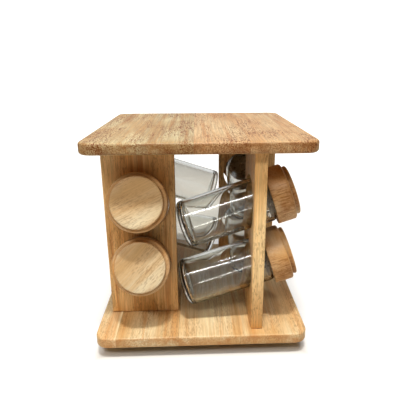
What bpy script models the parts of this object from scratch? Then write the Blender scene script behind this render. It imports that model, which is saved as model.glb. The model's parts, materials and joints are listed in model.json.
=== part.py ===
"""A revolving spice rack: eight glass jars lie tilted through four upright panels, between two
square boards, on a pressed steel swivel with rubber feet.

Metres, +Z up. The origin is on the floor under the middle of the rack, and the front is -Y.
Lengths named below are in millimetres. The four sides are the same, a quarter turn apart.
"""
import math

import bmesh
import bpy
from mathutils import Matrix

MM = 0.001
GAP = 0.3

# Boards and height
TOTAL_HEIGHT = 205.0
BOARD_SIDE = 200.0
BOARD_THICKNESS = 10.5
BOARD_CORNER_RADIUS = 12.0
BOARD_EDGE_RADIUS = 2.5
STAND_HEIGHT = 11.1
BASE_TOP = STAND_HEIGHT + BOARD_THICKNESS
TOP_BOTTOM = TOTAL_HEIGHT - BOARD_THICKNESS

# Upright panels, set like the blades of a pinwheel
PANEL_WIDTH = 67.0
PANEL_THICKNESS = 11.0
PANEL_SIDEWAYS = 57.2
PANEL_FORWARD = 52.1
PANEL_EDGE_CHAMFER = 0.8
PANEL_BOTTOM = BASE_TOP + GAP
PANEL_TOP = TOP_BOTTOM - GAP
PANEL_MIDDLE = (PANEL_BOTTOM + PANEL_TOP) / 2
PANEL_HEIGHT = PANEL_TOP - PANEL_BOTTOM

# Panel holes, one above the other, drilled a little to one side of the panel's middle
HOLE_RADIUS = 26.4
HOLE_SPACING = 62.8
HOLE_SIDEWAYS = 1.4
HOLE_DROP = 0.8

# Jars, turned about an axis that rises outwards through the middle of a panel hole
JAR_TILT = math.radians(18.2)
JAR_RADIUS = 23.0
JAR_INSIDE = 72.8
JAR_FOOT_ROUND = 4.5
JAR_FOOT_HOLLOW = 1.0
JAR_FLOOR = 3.8
JAR_BORE_RADIUS = 20.3
JAR_BORE_ROUND = 3.0
JAR_RIM_RADIUS = 21.9
JAR_RIM_IN_CAP = 3.0
JAR_SHOULDER_BELOW_CAP = 2.4
JAR_NECK_BELOW_CAP = 1.0

# Turned caps in two tiers, with a pressed-in plug
CAP_RADIUS = 27.0
CAP_TIER_HEIGHT = 18.2
CAP_TIER_ROUND = 2.2
CAP_KNOB_RADIUS = 23.6
CAP_KNOB_HEIGHT = 4.4
CAP_KNOB_ROUND = 1.6
CAP_GROOVE = 0.9
CAP_RECESS_RADIUS = 22.6
CAP_RECESS_DEPTH = 4.9
PLUG_FLANGE_RADIUS = 22.2
PLUG_FLANGE_THICKNESS = 1.2
PLUG_RADIUS = 19.9
PLUG_WALL = 1.7
PLUG_LENGTH = 10.0

# Where the cap's underside lies along the jar axis, just clear of the panel's outer face
CAP_SEAT = (PANEL_THICKNESS / 2 + GAP + CAP_RADIUS * math.sin(JAR_TILT)) / math.cos(JAR_TILT)

# A cutter runs on past the face that it opens by this much
OVERRUN = 1.0

# Dowels and screws, two of each for every panel
FASTENER_SPREAD = 20.0
DOWEL_RADIUS = 3.0
DOWEL_IN_BOARD = 6.6
DOWEL_IN_PANEL = 16.0
DOWEL_PLAY = 0.35
SCREW_RADIUS = 2.0
SCREW_HEAD_RADIUS = 4.0
SCREW_HEAD_DEPTH = 2.2
SCREW_HEAD_SUNK = 0.2
SCREW_LENGTH = 26.0
SCREW_PLAY = 0.4

# Swivel: two pressed plates with a ring of balls between them
PLATE_SIDE = 102.0
PLATE_CORNER_RADIUS = 8.0
PLATE_THICKNESS = 1.0
FOOT_HEIGHT = 2.5
LOWER_PLATE_BOTTOM = FOOT_HEIGHT + GAP
UPPER_PLATE_TOP = STAND_HEIGHT - GAP
HUB_RADIUS = 27.5
HUB_CURL_RADIUS = 31.5
HUB_TOP = UPPER_PLATE_TOP - 0.2
HUB_TOP_CHAMFER = 0.5
RACE_INNER_RADIUS = 29.5
RACE_OUTER_RADIUS = 41.0
RACE_TOP = UPPER_PLATE_TOP - 1.8
RACE_WALL_LEAN = 0.4
RACE_RIM_WIDTH = 4.0
RACE_RIM_STEP = 0.2
BALL_CIRCLE_RADIUS = 35.5
BALL_COUNT = 12
BALL_HEIGHT = (LOWER_PLATE_BOTTOM + PLATE_THICKNESS + RACE_TOP - PLATE_THICKNESS) / 2
BALL_RADIUS = BALL_HEIGHT - LOWER_PLATE_BOTTOM - PLATE_THICKNESS - GAP
CAGE_WIDTH = 4.6
CAGE_THICKNESS = 1.0
PLATE_SCREW_CIRCLE_RADIUS = 54.0
PLATE_SCREW_RADIUS = 1.5
PLATE_SCREW_HEAD_RADIUS = 3.4
PLATE_SCREW_HEAD_HEIGHT = 1.8
PLATE_SCREW_HEAD_ROUND = 1.0
PLATE_SCREW_LENGTH = 8.5
PLATE_SCREW_POINT = 2.0
PLATE_HOLE_RADIUS = 2.1
ACCESS_HOLE_RADIUS = 4.5
ACCESS_HOLE_ANGLE = math.radians(53.0)
FOOT_RADIUS = 6.0
FOOT_CHAMFER = 1.0
FOOT_CIRCLE_RADIUS = 62.0
FOOT_STEM_RADIUS = 2.2
FOOT_BARB_RADIUS = 3.0
FOOT_BARB_HEIGHT = 1.6
FOOT_BARB_TAPER = 0.4

# Numbers of flats on round pieces
HOLE_SIDES = 32
JAR_SIDES = 20
CAP_SIDES = 20
PLUG_SIDES = 16
PLATE_SIDES = 32
CAGE_SIDES = 24
SMALL_SIDES = 12

SIDES = ("front", "right", "back", "left")
LEVELS = (("lower", -HOLE_DROP - HOLE_SPACING / 2), ("upper", -HOLE_DROP + HOLE_SPACING / 2))
CORNER_ANGLES = [math.radians(45 + 90 * corner) for corner in range(4)]
CORNER_NAMES = ("back_right", "back_left", "front_left", "front_right")


# ---------------------------------------------------------------- tools

def clear_scene():
    for item in list(bpy.data.objects):
        bpy.data.objects.remove(item, do_unlink=True)


def make_material(name, colour, roughness, metallic=0.0, transmission=0.0):
    material = bpy.data.materials.new(name)
    material.use_nodes = True
    shader = material.node_tree.nodes["Principled BSDF"]
    shader.inputs["Base Color"].default_value = (*colour, 1.0)
    shader.inputs["Roughness"].default_value = roughness
    shader.inputs["Metallic"].default_value = metallic
    shader.inputs["Transmission Weight"].default_value = transmission
    return material


def place(name, mesh, material, parent=None, matrix=None, smooth_angle=35.0):
    """Adds a mesh to the scene as a named object, at a matrix in millimetres under its parent."""
    mesh.name = name
    mesh.materials.clear()
    mesh.materials.append(material)
    mesh.shade_smooth()
    mesh.set_sharp_from_angle(angle=math.radians(smooth_angle))
    item = bpy.data.objects.new(name, mesh)
    bpy.context.scene.collection.objects.link(item)
    item.parent = parent
    if matrix is not None:
        item.matrix_local = in_metres(matrix)
    return item


def in_metres(matrix):
    """The same turn, with the shift changed from millimetres to metres."""
    scaled = matrix.copy()
    scaled.translation = matrix.translation * MM
    return scaled


def add_empty(name, parent=None, matrix=None):
    empty = bpy.data.objects.new(name, None)
    empty.empty_display_size = 0.02
    bpy.context.scene.collection.objects.link(empty)
    empty.parent = parent
    if matrix is not None:
        empty.matrix_local = in_metres(matrix)
    return empty


def to_mesh(bm):
    """Closes a bmesh drawn in millimetres into a mesh in metres."""
    bmesh.ops.recalc_face_normals(bm, faces=bm.faces)
    bmesh.ops.scale(bm, vec=(MM, MM, MM), verts=bm.verts)
    mesh = bpy.data.meshes.new("mesh")
    bm.to_mesh(mesh)
    bm.free()
    return mesh


def turn(bm, outline, sides, matrix=None):
    """Turns an outline of (radius, height) points about Z into a closed solid in bm.

    An outline that starts and ends on the axis is a solid, and any other closes into a ring.
    """
    verts = [bm.verts.new((radius, 0.0, height)) for radius, height in outline]
    edges = [bm.edges.new(pair) for pair in zip(verts, verts[1:])]
    if outline[0][0] > 0:
        edges.append(bm.edges.new((verts[-1], verts[0])))
    known = set(bm.verts) - set(verts)
    bmesh.ops.spin(bm, geom=verts + edges, cent=(0, 0, 0), axis=(0, 0, 1),
                   angle=math.tau, steps=sides, use_merge=True)
    fresh = [vert for vert in bm.verts if vert not in known]
    bmesh.ops.remove_doubles(bm, verts=fresh, dist=0.001)
    fresh = [vert for vert in bm.verts if vert not in known]
    bmesh.ops.transform(bm, matrix=matrix or Matrix(), verts=fresh)


def turned_mesh(outline, sides):
    bm = bmesh.new()
    turn(bm, outline, sides)
    return to_mesh(bm)


def rod(radius, low, high):
    """The outline of a plain round bar from one height to another."""
    return [(0, low), (radius, low), (radius, high), (0, high)]


def quarter_round(radius, height, size, start, steps):
    """Points on a quarter circle of the given size about (radius, height), anticlockwise from start."""
    points = []
    for step in range(steps + 1):
        angle = math.radians(start + 90 * step / steps)
        points.append((radius + size * math.cos(angle), height + size * math.sin(angle)))
    return points


def slab(side_x, side_y, low, high, corner, corner_steps):
    """A rectangular slab with rounded upright corners."""
    bm = bmesh.new()
    bmesh.ops.create_cube(bm, size=1.0)
    bmesh.ops.scale(bm, vec=(side_x, side_y, high - low), verts=bm.verts)
    bmesh.ops.translate(bm, vec=(0, 0, (low + high) / 2), verts=bm.verts)
    upright = [edge for edge in bm.edges if abs(edge.verts[0].co.z - edge.verts[1].co.z) > GAP]
    bmesh.ops.bevel(bm, geom=upright, offset=corner, segments=corner_steps, profile=0.5,
                    affect="EDGES")
    return bm


def carve(solid, tool, operation="DIFFERENCE"):
    """Cuts the tool from the solid, or joins it on, and returns the mesh that results."""
    body = bpy.data.objects.new("body", solid)
    cutter = bpy.data.objects.new("cutter", tool)
    for item in (body, cutter):
        bpy.context.scene.collection.objects.link(item)
    modifier = body.modifiers.new("cut", "BOOLEAN")
    modifier.object = cutter
    modifier.operation = operation
    modifier.solver = "EXACT"
    graph = bpy.context.evaluated_depsgraph_get()
    mesh = bpy.data.meshes.new_from_object(body.evaluated_get(graph))
    bpy.data.objects.remove(body, do_unlink=True)
    bpy.data.objects.remove(cutter, do_unlink=True)
    return mesh


def quarter_turn(side):
    """The turn about the rack's axis that takes the front panel to the given side."""
    return Matrix.Rotation(math.radians(90 * side), 4, "Z")


def panel_matrix(side):
    """Where a panel's middle lies, with its outer face towards -Y before the turn."""
    return quarter_turn(side) @ Matrix.Translation((-PANEL_SIDEWAYS, -PANEL_FORWARD, PANEL_MIDDLE))


def fastener_places():
    """The (side, number, matrix) of each dowel and screw, at height zero."""
    places = []
    for side in range(len(SIDES)):
        for number, spread in enumerate((-FASTENER_SPREAD, FASTENER_SPREAD), start=1):
            shift = Matrix.Translation((-PANEL_SIDEWAYS + spread, -PANEL_FORWARD, 0))
            places.append((side, number, quarter_turn(side) @ shift))
    return places


def on_circle(radius, angle, height=0.0):
    return Matrix.Translation((radius * math.cos(angle), radius * math.sin(angle), height))


# ---------------------------------------------------------------- boards and panels

def board_solid(low, high):
    bm = slab(BOARD_SIDE, BOARD_SIDE, low, high, BOARD_CORNER_RADIUS, 5)
    rims = [edge for edge in bm.edges if abs(edge.verts[0].co.z - edge.verts[1].co.z) < GAP]
    bmesh.ops.bevel(bm, geom=rims, offset=BOARD_EDGE_RADIUS, segments=2, profile=0.5,
                    affect="EDGES")
    return to_mesh(bm)


def top_board_mesh():
    """The top board, with blind dowel holes in its underside."""
    sockets = bmesh.new()
    hole = rod(DOWEL_RADIUS + DOWEL_PLAY, TOP_BOTTOM - GAP, TOP_BOTTOM + DOWEL_IN_BOARD + GAP)
    for _side, _number, matrix in fastener_places():
        turn(sockets, hole, SMALL_SIDES, matrix)
    return carve(board_solid(TOP_BOTTOM, TOTAL_HEIGHT), to_mesh(sockets))


def base_board_mesh():
    """The base board, with countersunk holes for the panels and pilot holes for the swivel."""
    holes = bmesh.new()
    shank = SCREW_RADIUS + SCREW_PLAY
    head = SCREW_HEAD_RADIUS + SCREW_PLAY
    sink = STAND_HEIGHT + SCREW_HEAD_DEPTH + GAP
    below = STAND_HEIGHT - OVERRUN
    above = BASE_TOP + OVERRUN
    countersunk = [(0, below), (head, below), (head, STAND_HEIGHT + GAP), (shank, sink),
                   (shank, above), (0, above)]
    for _side, _number, matrix in fastener_places():
        turn(holes, countersunk, SMALL_SIDES, matrix)
    pilot = rod(PLATE_SCREW_RADIUS + GAP, below, STAND_HEIGHT + PLATE_SCREW_LENGTH)
    for angle in CORNER_ANGLES:
        turn(holes, pilot, SMALL_SIDES, on_circle(PLATE_SCREW_CIRCLE_RADIUS, angle))
    return carve(board_solid(STAND_HEIGHT, BASE_TOP), to_mesh(holes))


def panel_mesh():
    """One upright panel about its own middle: two jar holes, two dowel holes, two screw holes."""
    half = PANEL_HEIGHT / 2
    blank = slab(PANEL_WIDTH, PANEL_THICKNESS, -half, half, PANEL_EDGE_CHAMFER, 1)
    holes = bmesh.new()
    lie_down = Matrix.Rotation(math.radians(90), 4, "X")
    through = rod(HOLE_RADIUS, -PANEL_THICKNESS, PANEL_THICKNESS)
    for _level, height in LEVELS:
        turn(holes, through, HOLE_SIDES, Matrix.Translation((HOLE_SIDEWAYS, 0, height)) @ lie_down)
    dowel_hole = rod(DOWEL_RADIUS + DOWEL_PLAY, half - DOWEL_IN_PANEL - GAP, half + OVERRUN)
    screw_tip = STAND_HEIGHT + SCREW_HEAD_SUNK + SCREW_LENGTH
    screw_hole = rod(SCREW_RADIUS + SCREW_PLAY, -half - OVERRUN, screw_tip + OVERRUN - PANEL_MIDDLE)
    for spread in (-FASTENER_SPREAD, FASTENER_SPREAD):
        turn(holes, dowel_hole, SMALL_SIDES, Matrix.Translation((spread, 0, 0)))
        turn(holes, screw_hole, SMALL_SIDES, Matrix.Translation((spread, 0, 0)))
    return carve(to_mesh(blank), to_mesh(holes))


def dowel_mesh():
    return turned_mesh(rod(DOWEL_RADIUS, PANEL_TOP - DOWEL_IN_PANEL, TOP_BOTTOM + DOWEL_IN_BOARD),
                       SMALL_SIDES)


def panel_screw_mesh():
    """A countersunk wood screw, head down and just below the board's underside."""
    head = STAND_HEIGHT + SCREW_HEAD_SUNK
    tip = head + SCREW_LENGTH
    outline = [(0, head), (SCREW_HEAD_RADIUS, head), (SCREW_RADIUS, head + SCREW_HEAD_DEPTH),
               (SCREW_RADIUS, tip - 2 * SCREW_RADIUS), (0, tip)]
    return turned_mesh(outline, SMALL_SIDES)


# ---------------------------------------------------------------- swivel

def through_plate(radius, low):
    """The outline of a cutter that goes right through a plate whose underside is at low."""
    return rod(radius, low - OVERRUN, low + PLATE_THICKNESS + OVERRUN)


def lower_plate_mesh():
    """The fixed plate. Its middle rises into a hub that curls out over the upper plate's race."""
    low = LOWER_PLATE_BOTTOM
    curl = HUB_TOP - PLATE_THICKNESS
    inside = HUB_RADIUS - PLATE_THICKNESS
    plate = slab(PLATE_SIDE, PLATE_SIDE, low, low + PLATE_THICKNESS, PLATE_CORNER_RADIUS, 3)
    holes = bmesh.new()
    turn(holes, through_plate(HUB_RADIUS - PLATE_THICKNESS / 2, low), PLATE_SIDES)
    stem_hole = through_plate(FOOT_STEM_RADIUS + GAP, low)
    for angle in CORNER_ANGLES:
        turn(holes, stem_hole, SMALL_SIDES, on_circle(FOOT_CIRCLE_RADIUS, angle))
    turn(holes, through_plate(ACCESS_HOLE_RADIUS, low), SMALL_SIDES,
         on_circle(PLATE_SCREW_CIRCLE_RADIUS, ACCESS_HOLE_ANGLE))
    hub = [(inside, low), (HUB_RADIUS, low), (HUB_RADIUS, curl), (HUB_CURL_RADIUS, curl),
           (HUB_CURL_RADIUS, HUB_TOP), (inside + HUB_TOP_CHAMFER, HUB_TOP),
           (inside, HUB_TOP - HUB_TOP_CHAMFER)]
    pierced = carve(to_mesh(plate), to_mesh(holes))
    return carve(pierced, turned_mesh(hub, PLATE_SIDES), "UNION")


def upper_plate_mesh():
    """The turning plate, pressed down in the middle into a flat race that runs on the balls."""
    low = UPPER_PLATE_TOP - PLATE_THICKNESS
    plate = slab(PLATE_SIDE, PLATE_SIDE, low, UPPER_PLATE_TOP, PLATE_CORNER_RADIUS, 3)
    holes = bmesh.new()
    rim = RACE_OUTER_RADIUS + RACE_RIM_WIDTH
    turn(holes, through_plate(rim - PLATE_THICKNESS, low), PLATE_SIDES)
    for angle in CORNER_ANGLES:
        turn(holes, through_plate(PLATE_HOLE_RADIUS, low), SMALL_SIDES,
             on_circle(PLATE_SCREW_CIRCLE_RADIUS, angle))
    race_bottom = RACE_TOP - PLATE_THICKNESS
    rim_low = low + RACE_RIM_STEP
    rim_high = UPPER_PLATE_TOP - RACE_RIM_STEP
    dish = [(RACE_INNER_RADIUS, race_bottom), (RACE_OUTER_RADIUS + RACE_WALL_LEAN, race_bottom),
            (rim - PLATE_THICKNESS, rim_low), (rim, rim_low), (rim, rim_high),
            (rim - PLATE_THICKNESS - RACE_WALL_LEAN, rim_high),
            (RACE_OUTER_RADIUS, RACE_TOP), (RACE_INNER_RADIUS, RACE_TOP)]
    pierced = carve(to_mesh(plate), to_mesh(holes))
    return carve(pierced, turned_mesh(dish, PLATE_SIDES), "UNION")


def ball_ring_mesh():
    """The ring of balls, held at even spaces by a thin cage."""
    inner = BALL_CIRCLE_RADIUS - CAGE_WIDTH / 2
    outer = BALL_CIRCLE_RADIUS + CAGE_WIDTH / 2
    low = BALL_HEIGHT - CAGE_THICKNESS / 2
    high = BALL_HEIGHT + CAGE_THICKNESS / 2
    cage = turned_mesh([(inner, low), (outer, low), (outer, high), (inner, high)], CAGE_SIDES)
    balls = bmesh.new()
    for number in range(BALL_COUNT):
        angle = math.tau * number / BALL_COUNT
        bmesh.ops.create_uvsphere(balls, u_segments=6, v_segments=5, radius=BALL_RADIUS,
                                  matrix=on_circle(BALL_CIRCLE_RADIUS, angle, BALL_HEIGHT))
    return carve(cage, to_mesh(balls), "UNION")


def foot_mesh():
    """A push-in rubber foot. Its barbed stem passes up through the lower plate."""
    above = LOWER_PLATE_BOTTOM + PLATE_THICKNESS + GAP
    tip = above + FOOT_BARB_HEIGHT
    outline = [(0, 0), (FOOT_RADIUS - FOOT_CHAMFER, 0), (FOOT_RADIUS, FOOT_CHAMFER),
               (FOOT_RADIUS, FOOT_HEIGHT), (FOOT_STEM_RADIUS, FOOT_HEIGHT),
               (FOOT_STEM_RADIUS, above), (FOOT_BARB_RADIUS, above),
               (FOOT_STEM_RADIUS - FOOT_BARB_TAPER, tip), (0, tip)]
    return turned_mesh(outline, SMALL_SIDES)


def plate_screw_mesh():
    """A short pan-head screw that holds the upper plate to the base board."""
    head = UPPER_PLATE_TOP - PLATE_THICKNESS - GAP
    crown = head - PLATE_SCREW_HEAD_HEIGHT
    tip = head + PLATE_SCREW_LENGTH
    outline = [(0, crown), (PLATE_SCREW_HEAD_RADIUS - PLATE_SCREW_HEAD_ROUND, crown),
               (PLATE_SCREW_HEAD_RADIUS, crown + PLATE_SCREW_HEAD_ROUND),
               (PLATE_SCREW_HEAD_RADIUS, head), (PLATE_SCREW_RADIUS, head),
               (PLATE_SCREW_RADIUS, tip - PLATE_SCREW_POINT), (0, tip)]
    return turned_mesh(outline, SMALL_SIDES)


# ---------------------------------------------------------------- jars and caps, along the jar axis

def jar_mesh():
    """A straight glass jar with a rounded foot and a rim a little narrower than its body."""
    bottom = -JAR_INSIDE
    rim = CAP_SEAT + JAR_RIM_IN_CAP
    floor = bottom + JAR_FLOOR
    outline = [(0, bottom + JAR_FOOT_HOLLOW), (JAR_RADIUS - 2 * JAR_FOOT_ROUND, bottom)]
    outline += quarter_round(JAR_RADIUS - JAR_FOOT_ROUND, bottom + JAR_FOOT_ROUND,
                             JAR_FOOT_ROUND, -90, 2)
    outline += [(JAR_RADIUS, CAP_SEAT - JAR_SHOULDER_BELOW_CAP)]
    outline += [(JAR_RIM_RADIUS, CAP_SEAT - JAR_NECK_BELOW_CAP), (JAR_RIM_RADIUS, rim)]
    outline += [(JAR_BORE_RADIUS, rim), (JAR_BORE_RADIUS, floor + JAR_BORE_ROUND)]
    outline += [(JAR_BORE_RADIUS - JAR_BORE_ROUND, floor), (0, floor)]
    return turned_mesh(outline, JAR_SIDES)


def cap_mesh():
    """A wooden cap: a wide tier, a turned groove and a narrower knob, hollow beneath for the plug."""
    shoulder = CAP_SEAT + CAP_TIER_HEIGHT
    face = shoulder + CAP_KNOB_HEIGHT
    roof = CAP_SEAT + CAP_RECESS_DEPTH
    outline = [(0, roof), (CAP_RECESS_RADIUS, roof), (CAP_RECESS_RADIUS, CAP_SEAT)]
    outline += [(CAP_RADIUS, CAP_SEAT)]
    outline += quarter_round(CAP_RADIUS - CAP_TIER_ROUND, shoulder - CAP_TIER_ROUND,
                             CAP_TIER_ROUND, 0, 2)
    outline += [(CAP_KNOB_RADIUS - CAP_GROOVE, shoulder), (CAP_KNOB_RADIUS, shoulder + CAP_GROOVE)]
    outline += [(CAP_KNOB_RADIUS, face - CAP_KNOB_ROUND), (CAP_KNOB_RADIUS - CAP_KNOB_ROUND, face)]
    outline += [(0, face)]
    return turned_mesh(outline, CAP_SIDES)


def plug_mesh():
    """The plastic plug under a cap: a flange in the cap's recess and a cup that fills the mouth."""
    roof = CAP_SEAT + CAP_RECESS_DEPTH - GAP
    flange = roof - PLUG_FLANGE_THICKNESS
    end = roof - PLUG_LENGTH
    hollow = PLUG_RADIUS - PLUG_WALL
    outline = [(0, flange), (hollow, flange), (hollow, end), (PLUG_RADIUS, end),
               (PLUG_RADIUS, flange), (PLUG_FLANGE_RADIUS, flange), (PLUG_FLANGE_RADIUS, roof),
               (0, roof)]
    return turned_mesh(outline, PLUG_SIDES)


# ---------------------------------------------------------------- the whole rack

def build():
    clear_scene()
    board_wood = make_material("board_wood", (0.56, 0.33, 0.14), 0.42)
    panel_wood = make_material("panel_wood", (0.50, 0.29, 0.12), 0.48)
    cap_wood = make_material("cap_wood", (0.60, 0.38, 0.18), 0.45)
    dowel_wood = make_material("dowel_wood", (0.66, 0.50, 0.30), 0.60)
    jar_glass = make_material("jar_glass", (0.90, 0.94, 0.92), 0.03, transmission=1.0)
    plug_plastic = make_material("plug_plastic", (0.82, 0.82, 0.78), 0.35)
    plated_steel = make_material("plated_steel", (0.62, 0.62, 0.60), 0.32, metallic=1.0)
    foot_rubber = make_material("foot_rubber", (0.03, 0.03, 0.03), 0.75)

    stand = add_empty("stand_axis")
    place("swivel_lower_plate", lower_plate_mesh(), plated_steel, stand)
    foot = foot_mesh()
    for name, angle in zip(CORNER_NAMES, CORNER_ANGLES):
        place("rubber_foot_" + name, foot.copy(), foot_rubber, stand,
              on_circle(FOOT_CIRCLE_RADIUS, angle))
    place("bearing_ball_ring", ball_ring_mesh(), plated_steel, stand)

    spin = add_empty("spin_axis", stand)
    place("swivel_upper_plate", upper_plate_mesh(), plated_steel, spin)
    plate_screw = plate_screw_mesh()
    for name, angle in zip(CORNER_NAMES, CORNER_ANGLES):
        place("swivel_screw_" + name, plate_screw.copy(), plated_steel, spin,
              on_circle(PLATE_SCREW_CIRCLE_RADIUS, angle))
    place("base_board", base_board_mesh(), board_wood, spin)
    place("top_board", top_board_mesh(), board_wood, spin)

    dowel = dowel_mesh()
    screw = panel_screw_mesh()
    for side, number, matrix in fastener_places():
        place(f"dowel_{SIDES[side]}_{number}", dowel.copy(), dowel_wood, spin, matrix)
        place(f"panel_screw_{SIDES[side]}_{number}", screw.copy(), plated_steel, spin, matrix)

    panel = panel_mesh()
    jar = jar_mesh()
    cap = cap_mesh()
    plug = plug_mesh()
    tip_out = Matrix.Rotation(math.radians(90) - JAR_TILT, 4, "X")
    for side, side_name in enumerate(SIDES):
        place("panel_" + side_name, panel.copy(), panel_wood, spin, panel_matrix(side))
        for level, height in LEVELS:
            name = f"{side_name}_{level}"
            hole = panel_matrix(side) @ Matrix.Translation((HOLE_SIDEWAYS, 0, height)) @ tip_out
            axis = add_empty("jar_axis_" + name, spin, hole)
            place("glass_jar_" + name, jar.copy(), jar_glass, axis)
            place("wooden_cap_" + name, cap.copy(), cap_wood, axis)
            place("cap_plug_" + name, plug.copy(), plug_plastic, axis)


build()
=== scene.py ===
import json
import math

import bmesh
import bpy
from mathutils import Matrix, Vector


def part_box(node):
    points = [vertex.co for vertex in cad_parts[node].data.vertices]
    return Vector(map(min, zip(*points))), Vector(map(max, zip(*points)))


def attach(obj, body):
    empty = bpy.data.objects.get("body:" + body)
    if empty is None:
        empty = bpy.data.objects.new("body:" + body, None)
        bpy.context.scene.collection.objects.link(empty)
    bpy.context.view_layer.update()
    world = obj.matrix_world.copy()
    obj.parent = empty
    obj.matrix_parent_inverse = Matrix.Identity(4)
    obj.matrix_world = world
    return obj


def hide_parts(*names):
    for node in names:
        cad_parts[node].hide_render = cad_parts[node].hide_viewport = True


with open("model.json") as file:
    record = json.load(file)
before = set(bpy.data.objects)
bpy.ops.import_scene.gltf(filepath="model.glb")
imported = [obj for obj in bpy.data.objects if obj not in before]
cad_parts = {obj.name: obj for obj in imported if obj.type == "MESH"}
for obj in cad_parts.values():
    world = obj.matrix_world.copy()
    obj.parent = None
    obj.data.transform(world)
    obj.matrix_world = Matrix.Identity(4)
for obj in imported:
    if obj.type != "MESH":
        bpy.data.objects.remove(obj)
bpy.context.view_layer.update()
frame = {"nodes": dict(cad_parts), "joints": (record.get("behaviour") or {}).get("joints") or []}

MM = 0.001

# ---------------------------------------------------------------- sizes, from the frame

BOARD_LOW, BOARD_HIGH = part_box("top_board")
BASE_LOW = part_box("base_board")[0]
PANEL_LOW, PANEL_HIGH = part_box("panel_front")
JAR_LOW, JAR_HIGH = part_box("glass_jar_front_upper")
FOOT_LOW, FOOT_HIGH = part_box("rubber_foot_back_right")
LOWER_PLATE_LOW, LOWER_PLATE_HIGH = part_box("swivel_lower_plate")
UPPER_PLATE_LOW, UPPER_PLATE_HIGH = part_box("swivel_upper_plate")
SCREW_LOW, SCREW_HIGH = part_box("panel_screw_front_1")
PLATE_SCREW_LOW, PLATE_SCREW_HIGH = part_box("swivel_screw_back_right")

JOINT_AXIS = {joint["name"]: Vector(joint["axis"]) for joint in frame["joints"]}
JAR_TILT = math.asin(JOINT_AXIS["jar_front_upper_slide"].z)

BOARD_SIDE = BOARD_HIGH.x - BOARD_LOW.x
BOARD_THICKNESS = BOARD_HIGH.z - BOARD_LOW.z
BOARD_CORNER = 12 * MM
BOARD_ROUND = 2.5 * MM
BASE_ROUND = 1.7 * MM

PANEL_WIDTH = PANEL_HIGH.x - PANEL_LOW.x
PANEL_THICKNESS = PANEL_HIGH.y - PANEL_LOW.y
PANEL_HEIGHT = PANEL_HIGH.z - PANEL_LOW.z
PANEL_MIDDLE = (PANEL_LOW + PANEL_HIGH) / 2
PANEL_ROUND = 0.9 * MM
HOLE_RADIUS = 26.4 * MM
HOLE_SPACING = 62.8 * MM
HOLE_DROP = 0.8 * MM
HOLE_SIDEWAYS = (JAR_LOW.x + JAR_HIGH.x) / 2 - PANEL_MIDDLE.x
HOLE_SIDES = 96

JAR_RADIUS = (JAR_HIGH.x - JAR_LOW.x) / 2
JAR_BORE_RADIUS = 20.2 * MM
JAR_BORE_ROUND = 3.2 * MM
JAR_INSIDE = 72.8 * MM
JAR_FLOOR = 4.2 * MM
JAR_FOOT_ROUND = 4.5 * MM
JAR_RIM_RADIUS = 21.9 * MM
JAR_RIM_IN_CAP = 3.0 * MM
JAR_RIM_LOW = 0.6 * MM
JAR_SHOULDER_LOW = 3.0 * MM
JAR_SHOULDER_MIDDLE = 2.0 * MM
JAR_SHOULDER_HIGH = 1.2 * MM
JAR_STRAIGHT_TO = 12.0 * MM
JAR_BORE_STRAIGHT_TO = 30.0 * MM
JAR_FOOT_RING_OUTER = 17.6 * MM
JAR_FOOT_RING_INNER = 16.2 * MM
JAR_HOLLOW_EDGE = 14.6 * MM
JAR_HOLLOW_MIDDLE = 9.0 * MM
JAR_HOLLOW_DEPTH = 1.2 * MM

CAP_RADIUS = 27.0 * MM
CAP_TIER = 18.2 * MM
CAP_TIER_ROUND = 2.2 * MM
CAP_KNOB_RADIUS = 23.6 * MM
CAP_KNOB = 4.4 * MM
CAP_KNOB_ROUND = 1.7 * MM
CAP_GROOVE = 0.8 * MM
CAP_EASE = 0.7 * MM
CAP_RECESS_RADIUS = 22.6 * MM
CAP_RECESS = 4.9 * MM
CAP_FACE_INSET = 4.0 * MM
GAP = 0.3 * MM
CAP_SEAT = (PANEL_THICKNESS / 2 + GAP + CAP_RADIUS * math.sin(JAR_TILT)) / math.cos(JAR_TILT)

PLUG_FLANGE_RADIUS = 22.2 * MM
PLUG_FLANGE = 1.2 * MM
PLUG_RADIUS = 19.9 * MM
PLUG_WALL = 1.7 * MM
PLUG_LENGTH = 10.0 * MM
PLUG_RIB_COUNT = 3
PLUG_RIB = 0.5 * MM
PLUG_RIB_SPACING = 2.2 * MM
PLUG_FIRST_RIB = 2.0 * MM
PLUG_FLANGE_EASE = 0.2 * MM

SIDES = ("front", "right", "back", "left")
LEVELS = (("lower", -HOLE_DROP - HOLE_SPACING / 2), ("upper", -HOLE_DROP + HOLE_SPACING / 2))
CORNERS = ("back_right", "back_left", "front_left", "front_right")
CORNER_ANGLES = [math.radians(45 + 90 * corner) for corner in range(4)]
PANEL_SCREWS = [f"panel_screw_{side}_{number}" for side in SIDES for number in (1, 2)]

SCREW_HEAD_RADIUS = 4.0 * MM
SCREW_RADIUS = 2.0 * MM
SCREW_PLAY = 0.4 * MM
HEAD_DEPTH = 2.2 * MM
SCREW_THREADS = 12
THREAD_FROM = 0.36
THREAD_TO = 0.92
POINT_FROM = 0.94
PAN_HEAD = 1.8 * MM
PAN_CROWN = 1.0 * MM
PLATE_SIDE = LOWER_PLATE_HIGH.x - LOWER_PLATE_LOW.x
PLATE_CORNER = 8.0 * MM
PLATE_THICKNESS = 1.0 * MM
PLATE_ROUND = 0.25 * MM
FOOT_HOLE_RADIUS = 2.5 * MM
PLATE_SCREW_HOLE_RADIUS = 2.1 * MM
ACCESS_HOLE_RADIUS = 4.5 * MM
ACCESS_HOLE_ANGLE = math.radians(53)
HUB_RADIUS = 27.5 * MM
HUB_CURL_RADIUS = 31.5 * MM
HUB_CURL_ROUND = 0.5 * MM
HUB_LIP_ROUND = 1.2 * MM
RACE_INNER_RADIUS = 29.5 * MM
RACE_OUTER_RADIUS = 41.0 * MM
RACE_RIM = 4.0 * MM
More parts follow.
